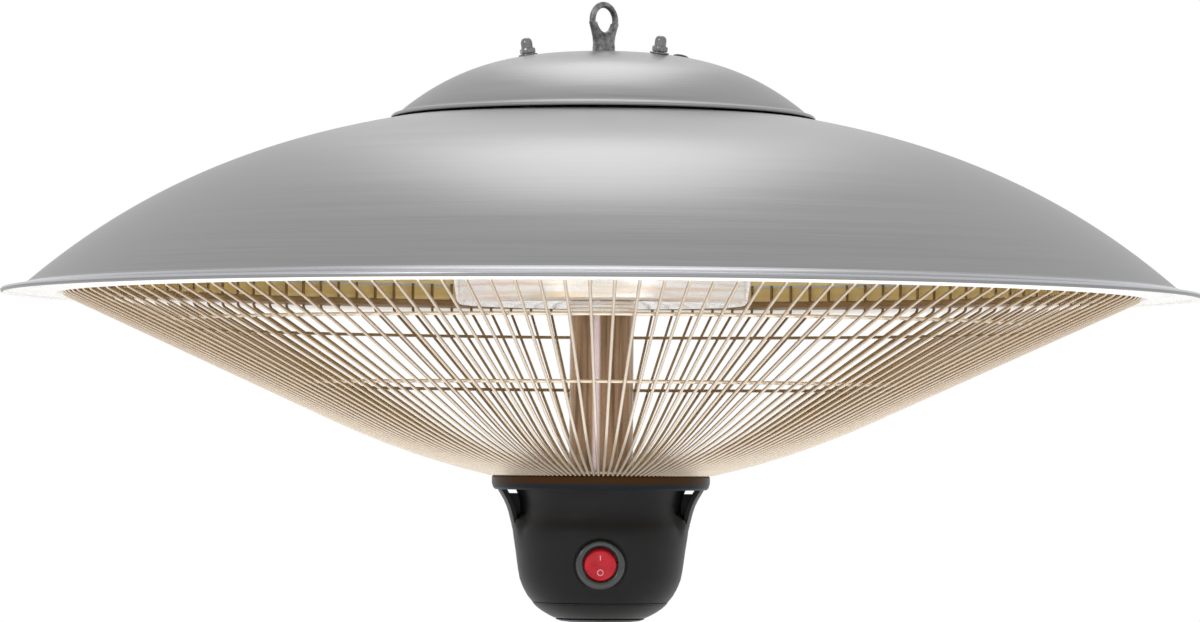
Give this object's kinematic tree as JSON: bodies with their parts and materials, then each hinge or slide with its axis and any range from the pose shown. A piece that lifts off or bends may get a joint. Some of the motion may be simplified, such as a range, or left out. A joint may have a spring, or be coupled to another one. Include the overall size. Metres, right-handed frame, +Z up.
{
  "type": "infrared ceiling heater",
  "caption": "Hanging infrared heater: a spun metal shade over quartz lamps, a radial wire cage, and a moulded control housing with a rocker switch below.",
  "frame": {"origin": "centre of the hanging eye's hole", "axes": "+Z up, -Y the way the rocker switch faces, +X to the right as seen from the switch's side"},
  "size_m": [0.6, 0.6, 0.3116],
  "materials": {
    "galvanised_steel": "cast and galvanised, satin",
    "zinc_fasteners": "zinc plated",
    "plated_steel": "zinc-plated sheet and tube",
    "stainless_shade": "stainless steel, spun and circular brushed",
    "black_nylon": "moulded, matte",
    "terminal_plastic": "moulded, matte",
    "gold_reflector": "polished, warm tinted",
    "polished_steel": "polished stainless steel",
    "bakelite": "moulded, matte",
    "quartz_glass": "quartz with a gold heat coating",
    "tungsten": "wound wire",
    "ceramic": "unglazed white ceramic",
    "spring_steel": "folded strip",
    "grille_wire": "bright plated wire",
    "black_housing": "moulded, fine satin texture",
    "switch_black": "moulded, glossy",
    "red_rocker": "translucent red, glossy",
    "brass": "plain"
  },
  "bodies": {
    "heater": {"eye_nut": "galvanised_steel", "suspension_rod": "zinc_fasteners", "rod_nuts": "zinc_fasteners", "rod_washers": "zinc_fasteners", "top_cap": "stainless_shade", "cap_plate": "plated_steel", "cap_studs": "zinc_fasteners", "acorn_nuts": "zinc_fasteners", "acorn_washers": "zinc_fasteners", "cable_gland": "black_nylon", "gland_nut": "black_nylon", "terminal_block": "terminal_plastic", "shade": "stainless_shade", "spacer_tube": "plated_steel", "reflector_dish": "gold_reflector", "hub_plate": "plated_steel", "hub_cover": "polished_steel", "thermal_cutout": "bakelite", "lamp_tubes": "quartz_glass", "lamp_filaments": "tungsten", "lamp_caps": "ceramic", "lamp_clips": "spring_steel", "clip_screws": "zinc_fasteners", "centre_column": "polished_steel", "column_plug": "plated_steel", "column_collar": "polished_steel", "column_flange": "plated_steel", "flange_screws": "zinc_fasteners", "grille_wires": "grille_wire", "grille_top_ring": "grille_wire", "grille_upper_ring": "grille_wire", "grille_lower_ring": "grille_wire", "grille_bottom_ring": "grille_wire", "grille_carrier": "plated_steel", "housing_lid": "black_housing", "housing_shell": "black_housing", "housing_bottom": "black_housing", "bottom_cap": "black_housing", "switch_body": "switch_black", "switch_terminals": "brass"},
    "rocker": {"switch_rocker": "red_rocker"}
  },
  "joints": [
    {"name": "rocker_tilt", "type": "hinge", "parent": "heater", "child": "rocker", "pos_m": [0, -0.0373, -0.2722], "axis": [1, 0, 0], "range_deg": [-20, 0]}
  ]
}
